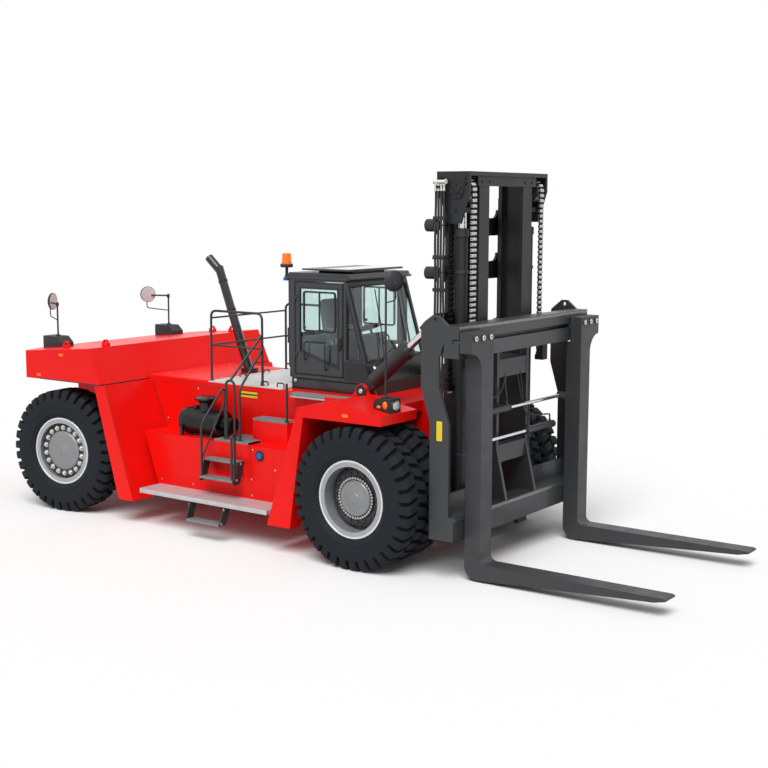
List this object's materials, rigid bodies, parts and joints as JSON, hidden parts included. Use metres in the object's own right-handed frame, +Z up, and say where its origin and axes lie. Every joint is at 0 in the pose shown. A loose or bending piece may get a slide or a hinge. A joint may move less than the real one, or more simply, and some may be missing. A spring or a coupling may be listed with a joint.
{
  "type": "heavy forklift truck",
  "caption": "Heavy counterbalanced forklift: raised cab on a red hull, twin-tyred drive axle, steered rear axle, tilting two-stage mast, chain-lifted carriage and forks that slide apart.",
  "frame": {"origin": "ground under the middle of the overall length, on the middle plane", "axes": "+X forward along the forks, +Y to the left, +Z up"},
  "size_m": [11.99, 4.4932, 5.62],
  "materials": {
    "hull_paint": "gloss",
    "deck_paint": "satin",
    "aluminium": "satin",
    "black_paint": "satin",
    "mast_paint": "satin",
    "chain_steel": "oiled",
    "chrome": "polished",
    "glass": "clear",
    "seat_fabric": "woven",
    "black_plastic": "matt",
    "amber": "gloss",
    "hose_rubber": "matt",
    "rim_paint": "satin",
    "tyre": "matt"
  },
  "bodies": {
    "chassis": {"chassis_frame": "hull_paint", "counterweight": "hull_paint", "rear_arches": "hull_paint", "front_fenders": "hull_paint", "deck_plates": "deck_paint", "running_boards": "aluminium", "boarding_steps": "aluminium", "handrails": "black_paint", "air_cleaner": "black_paint", "exhaust_stack": "black_paint", "lamp_boxes": "black_paint", "mirrors": "black_paint", "lifting_lugs": "hull_paint", "drive_axle": "mast_paint", "steer_axle": "mast_paint", "tilt_brackets": "hull_paint", "cab_base": "black_paint", "cab_shell": "black_paint", "cab_roof": "black_paint", "cab_glass": "glass", "cab_seat": "seat_fabric", "cab_console": "black_plastic", "beacon": "amber"},
    "engine_hatch": {"engine_hatch": "deck_paint"},
    "door_right": {"door_right": "black_paint", "door_glass_right": "glass"},
    "door_left": {"door_left": "black_paint", "door_glass_left": "glass"},
    "knuckle_right": {"knuckle_right": "mast_paint"},
    "knuckle_left": {"knuckle_left": "mast_paint"},
    "rear_wheel_right": {"rear_rim_right": "rim_paint", "rear_tyre_right": "tyre"},
    "rear_wheel_left": {"rear_rim_left": "rim_paint", "rear_tyre_left": "tyre"},
    "front_wheel_right": {"front_rim_right": "rim_paint", "front_tyres_right": "tyre"},
    "front_wheel_left": {"front_rim_left": "rim_paint", "front_tyres_left": "tyre"},
    "mast_outer": {"mast_outer": "mast_paint", "lift_barrels": "mast_paint", "mast_hoses": "hose_rubber", "work_lamps": "black_plastic", "chain_tails": "chain_steel"},
    "mast_inner": {"mast_inner": "mast_paint", "lift_rods": "chrome", "chain_sheaves": "chain_steel", "lift_chains": "chain_steel"},
    "carriage": {"carriage_frame": "mast_paint", "positioner_barrels": "mast_paint"},
    "fork_right": {"fork_right": "mast_paint", "fork_rod_right": "chrome"},
    "fork_left": {"fork_left": "mast_paint", "fork_rod_left": "chrome"},
    "tilt_barrel_right": {"tilt_barrel_right": "black_paint"},
    "tilt_barrel_left": {"tilt_barrel_left": "black_paint"},
    "tilt_rod_right": {"tilt_rod_right": "chrome"},
    "tilt_rod_left": {"tilt_rod_left": "chrome"}
  },
  "joints": [
    {"name": "mast_tilt", "type": "hinge", "parent": "chassis", "child": "mast_outer", "pos_m": [1.905, 0, 0.8], "axis": [0, 1, 0], "range_deg": [-10, 5]},
    {"name": "mast_lift", "type": "slide", "parent": "mast_outer", "child": "mast_inner", "axis": [0, 0, 1], "range_m": [0, 2.2], "deforming": ["chain_tails"]},
    {"name": "carriage_lift", "type": "slide", "parent": "mast_inner", "child": "carriage", "axis": [0, 0, 1], "range_m": [0, 2.2], "deforming": ["lift_chains"]},
    {"name": "fork_shift_right", "type": "slide", "parent": "carriage", "child": "fork_right", "axis": [0, 1, 0], "range_m": [0, 0.7]},
    {"name": "fork_shift_left", "type": "slide", "parent": "carriage", "child": "fork_left", "axis": [0, -1, 0], "range_m": [0, 0.7]},
    {"name": "tilt_swing_right", "type": "hinge", "parent": "chassis", "child": "tilt_barrel_right", "pos_m": [0.905, -1.05, 2.42], "axis": [0, 1, 0], "range_deg": [-13.42, 6.96]},
    {"name": "tilt_stroke_right", "type": "slide", "parent": "tilt_barrel_right", "child": "tilt_rod_right", "axis": [0.7518, 0, 0.6594], "range_m": [-0.3234, 0.1627]},
    {"name": "tilt_swing_left", "type": "hinge", "parent": "chassis", "child": "tilt_barrel_left", "pos_m": [0.905, 1.05, 2.42], "axis": [0, 1, 0], "range_deg": [-13.42, 6.96]},
    {"name": "tilt_stroke_left", "type": "slide", "parent": "tilt_barrel_left", "child": "tilt_rod_left", "axis": [0.7518, 0, 0.6594], "range_m": [-0.3234, 0.1627]},
    {"name": "steer_right", "type": "hinge", "parent": "chassis", "child": "knuckle_right", "pos_m": [-4.745, -1.71, 1.03], "axis": [0, 0, 1], "range_deg": [-63, 47]},
    {"name": "steer_left", "type": "hinge", "parent": "chassis", "child": "knuckle_left", "pos_m": [-4.745, 1.71, 1.03], "axis": [0, 0, 1], "range_deg": [-63, 47]},
    {"name": "rear_spin_right", "type": "hinge", "parent": "knuckle_right", "child": "rear_wheel_right", "pos_m": [-4.72412, -1.85854, 1.03], "axis": [-0.1392, 0.9903, 0], "continuous": true},
    {"name": "rear_spin_left", "type": "hinge", "parent": "knuckle_left", "child": "rear_wheel_left", "pos_m": [-4.76588, 1.85854, 1.03], "axis": [-0.1392, 0.9903, 0], "continuous": true},
    {"name": "front_spin_right", "type": "hinge", "parent": "chassis", "child": "front_wheel_right", "pos_m": [1.455, -1.925, 1.03], "axis": [0, 1, 0], "continuous": true},
    {"name": "front_spin_left", "type": "hinge", "parent": "chassis", "child": "front_wheel_left", "pos_m": [1.455, 1.925, 1.03], "axis": [0, 1, 0], "continuous": true},
    {"name": "door_swing_right", "type": "hinge", "parent": "chassis", "child": "door_right", "pos_m": [-0.645, -0.814, 3.245], "axis": [0, 0, -1], "range_deg": [0, 85]},
    {"name": "door_swing_left", "type": "hinge", "parent": "chassis", "child": "door_left", "pos_m": [-0.645, 0.814, 3.245], "axis": [0, 0, 1], "range_deg": [0, 85]},
    {"name": "hatch_swing", "type": "hinge", "parent": "chassis", "child": "engine_hatch", "pos_m": [-1.089, 0, 2.315], "axis": [0, 1, 0], "range_deg": [0, 70]}
  ],
  "couplings": [
    {"joint": "carriage_lift", "follows": "mast_lift", "ratio": 1},
    {"joint": "steer_left", "follows": "steer_right", "ratio": 1},
    {"joint": "tilt_swing_right", "follows": "mast_tilt", "ratio": 1.2917},
    {"joint": "tilt_stroke_right", "follows": "mast_tilt", "m_per_rad": 1.8416},
    {"joint": "tilt_swing_left", "follows": "mast_tilt", "ratio": 1.2917},
    {"joint": "tilt_stroke_left", "follows": "mast_tilt", "m_per_rad": 1.8416}
  ]
}
